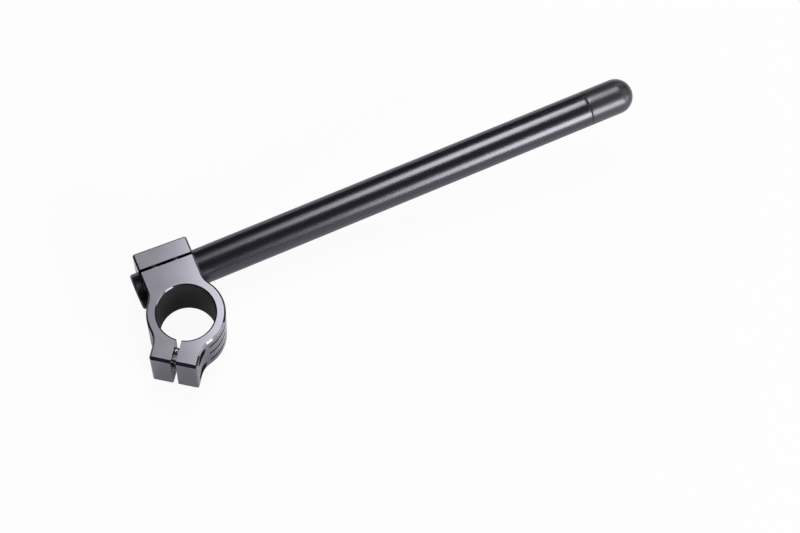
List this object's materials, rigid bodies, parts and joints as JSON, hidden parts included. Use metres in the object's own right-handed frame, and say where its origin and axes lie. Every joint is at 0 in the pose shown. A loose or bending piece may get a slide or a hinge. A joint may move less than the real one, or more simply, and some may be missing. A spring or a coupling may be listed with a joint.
{
  "type": "clip on handlebar",
  "caption": "Motorbike clip-on handlebar: a split machined clamp closes on a fork leg and holds a straight bar tube with a domed end plug.",
  "frame": {"origin": "on the fork bore's axis, halfway up the clamp", "axes": "+Z along the fork bore towards the clamp's flat outer face, +X the way the bar tube runs in plan, +Y from the fork bore to the bar tube"},
  "size_m": [0.3379, 0.0789, 0.0596],
  "materials": {
    "black_anodised_billet": "semi-gloss black anodised, milled",
    "black_satin_tube": "satin black anodised",
    "black_plug_plastic": "fine satin moulded",
    "bright_screw_steel": "bright zinc"
  },
  "bodies": {
    "root": {"clamp_body": "black_anodised_billet", "handlebar_tube": "black_satin_tube", "bar_end_plug": "black_plug_plastic", "fork_pinch_screws": "bright_screw_steel", "bar_pinch_screws": "bright_screw_steel"}
  },
  "joints": []
}
